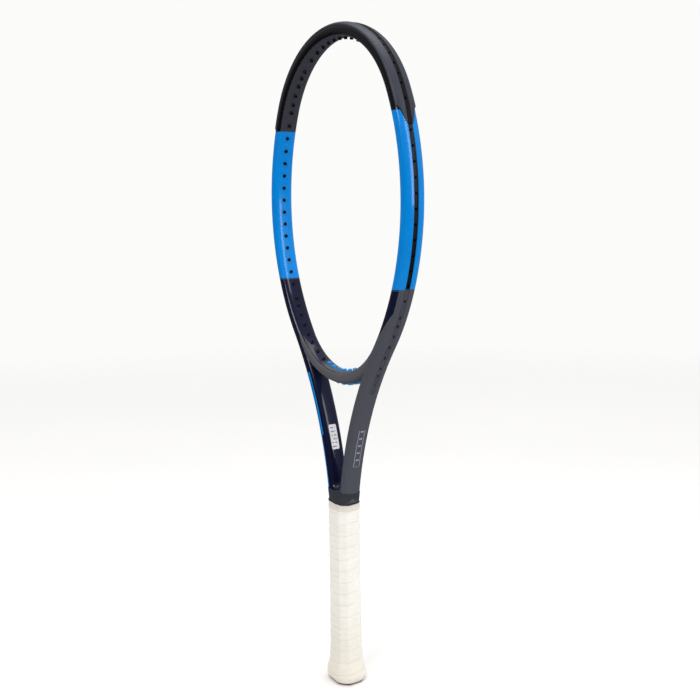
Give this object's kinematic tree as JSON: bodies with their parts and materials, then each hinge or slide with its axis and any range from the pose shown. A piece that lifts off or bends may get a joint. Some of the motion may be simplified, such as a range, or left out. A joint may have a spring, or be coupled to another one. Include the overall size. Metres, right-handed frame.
{
  "type": "tennis racket",
  "caption": "Unstrung tennis racket: oval drilled head, open throat with bridge, two shafts, collar and white wrapped octagonal handle.",
  "frame": {"origin": "middle of the butt cap's flat lower face", "axes": "+Z along the handle towards the head, X across the string bed, Y square to the string bed"},
  "size_m": [0.2618, 0.0372, 0.6858],
  "materials": {
    "satin_graphite": "satin dark grey paint over moulded graphite, with glossy blue and navy zones",
    "foam": "rigid foam, unfinished",
    "guard_plastic": "moulded nylon, satin",
    "black_plastic": "moulded nylon, satin",
    "blue_plastic": "moulded plastic, semi gloss",
    "red_plastic": "moulded plastic, semi gloss",
    "staple_wire": "bright wire",
    "base_grip": "polyurethane grip, matte",
    "black_tape": "vinyl tape",
    "white_overgrip": "tacky polyurethane, matte",
    "collar_rubber": "matte rubber",
    "label_film": "printed film"
  },
  "bodies": {
    "racket": {"base_grip": "base_grip", "base_grip_tape": "black_tape", "bridge_core": "foam", "bridge_end_grommets": "black_plastic", "bumper_guard": "guard_plastic", "butt_cap": "red_plastic", "butt_cap_staples": "staple_wire", "grip_collar": "collar_rubber", "grip_staple": "staple_wire", "hairpin_frame": "satin_graphite", "handle_pallet": "foam", "label_sticker": "label_film", "left_grommet_strip": "black_plastic", "leg_plugs": "foam", "overgrip": "white_overgrip", "overgrip_tape": "white_overgrip", "right_grommet_strip": "black_plastic", "throat_bridge": "satin_graphite", "throat_grommet_strip": "blue_plastic"},
    "trap_door": {"trap_door": "red_plastic"}
  },
  "joints": [
    {"name": "trap_door_pull", "type": "slide", "parent": "racket", "child": "trap_door", "axis": [0, 0, -1], "range_m": [0, 0.012]}
  ]
}
